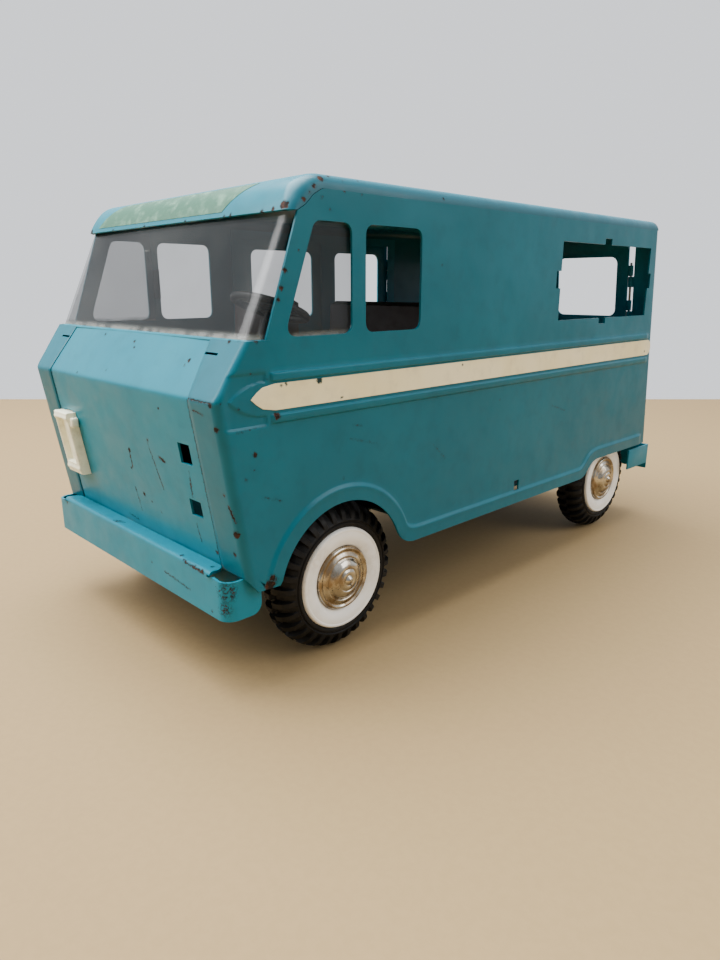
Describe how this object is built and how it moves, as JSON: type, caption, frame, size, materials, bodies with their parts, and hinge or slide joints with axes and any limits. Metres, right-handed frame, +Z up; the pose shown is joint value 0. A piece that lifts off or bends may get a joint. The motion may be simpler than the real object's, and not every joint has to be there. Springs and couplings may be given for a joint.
{
  "type": "toy step van",
  "caption": "Pressed-steel toy step van with slanted nose, side spear stripe, hinged side and rear doors, spinning wheels and a two-seat cab.",
  "frame": {"origin": "centre of the bounding box on the ground plane under the tyres", "axes": "front faces -Y, the vehicle's left side faces +X, +Z is up"},
  "size_m": [0.15, 0.3192, 0.1774],
  "materials": {
    "body_paint": "gloss enamel, chipped at the edges",
    "floor_paint": "dull enamel",
    "stripe_paint": "gloss enamel",
    "clear_plastic": "scratched clear plastic",
    "black_plastic": "moulded",
    "lamp_plastic": "aged moulding",
    "bare_steel": "dull zinc",
    "tyre_rubber": "moulded tread",
    "whitewall_plastic": "moulded, slightly dirty",
    "hub_cap_metal": "tarnished plating",
    "seat_plastic": "moulded"
  },
  "bodies": {
    "body": {"left_side_panel": "body_paint", "right_side_panel": "body_paint", "roof_panel": "body_paint", "front_panel": "body_paint", "rear_wall": "body_paint", "floor_pan": "floor_paint", "side_hinge_pins": "bare_steel", "rear_hinge_pins": "bare_steel", "side_stripe_left": "stripe_paint", "side_stripe_right": "stripe_paint", "windshield": "clear_plastic", "glazing_clips": "black_plastic", "right_lamp_bezel": "lamp_plastic", "front_bumper": "body_paint", "rear_bumper": "body_paint", "front_axle_brackets": "bare_steel", "rear_axle_brackets": "bare_steel", "bracket_rivets": "bare_steel", "front_axle_rod": "bare_steel", "rear_axle_rod": "bare_steel", "driver_seat": "seat_plastic", "passenger_seat": "seat_plastic", "steering_column": "black_plastic"},
    "front_left_wheel": {"front_left_tyre": "tyre_rubber", "front_left_whitewall": "whitewall_plastic", "front_left_hub_cap": "hub_cap_metal"},
    "front_right_wheel": {"front_right_tyre": "tyre_rubber", "front_right_whitewall": "whitewall_plastic", "front_right_hub_cap": "hub_cap_metal"},
    "rear_left_wheel": {"rear_left_tyre": "tyre_rubber", "rear_left_whitewall": "whitewall_plastic", "rear_left_hub_cap": "hub_cap_metal"},
    "rear_right_wheel": {"rear_right_tyre": "tyre_rubber", "rear_right_whitewall": "whitewall_plastic", "rear_right_hub_cap": "hub_cap_metal"},
    "side_front_door": {"side_front_door": "body_paint"},
    "side_rear_door": {"side_rear_door": "body_paint"},
    "rear_left_door": {"rear_left_door": "body_paint"},
    "rear_right_door": {"rear_right_door": "body_paint"},
    "steering_wheel": {"steering_wheel": "black_plastic"}
  },
  "joints": [
    {"name": "front_left_wheel_spin", "type": "hinge", "parent": "body", "child": "front_left_wheel", "pos_m": [0.0605, -0.09874, 0.0304], "axis": [1, 0, 0], "continuous": true},
    {"name": "front_right_wheel_spin", "type": "hinge", "parent": "body", "child": "front_right_wheel", "pos_m": [-0.0605, -0.09874, 0.0304], "axis": [1, 0, 0], "continuous": true},
    {"name": "rear_left_wheel_spin", "type": "hinge", "parent": "body", "child": "rear_left_wheel", "pos_m": [0.0605, 0.11416, 0.0304], "axis": [1, 0, 0], "continuous": true},
    {"name": "rear_right_wheel_spin", "type": "hinge", "parent": "body", "child": "rear_right_wheel", "pos_m": [-0.0605, 0.11416, 0.0304], "axis": [1, 0, 0], "continuous": true},
    {"name": "side_front_door_hinge", "type": "hinge", "parent": "body", "child": "side_front_door", "pos_m": [-0.0737, -0.04584, 0.105], "axis": [0, 0, 1], "range_deg": [0, 95]},
    {"name": "side_rear_door_hinge", "type": "hinge", "parent": "body", "child": "side_rear_door", "pos_m": [-0.0737, 0.07356, 0.105], "axis": [0, 0, -1], "range_deg": [0, 95]},
    {"name": "rear_left_door_hinge", "type": "hinge", "parent": "body", "child": "rear_left_door", "pos_m": [0.0595, 0.14638, 0.11166], "axis": [0, 0.0958, -0.9954], "range_deg": [0, 100]},
    {"name": "rear_right_door_hinge", "type": "hinge", "parent": "body", "child": "rear_right_door", "pos_m": [-0.0595, 0.14638, 0.11166], "axis": [0, -0.0958, 0.9954], "range_deg": [0, 100]},
    {"name": "steering_wheel_turn", "type": "hinge", "parent": "body", "child": "steering_wheel", "pos_m": [0.038, -0.10744, 0.134], "axis": [0, 0.342, 0.9397], "continuous": true}
  ]
}
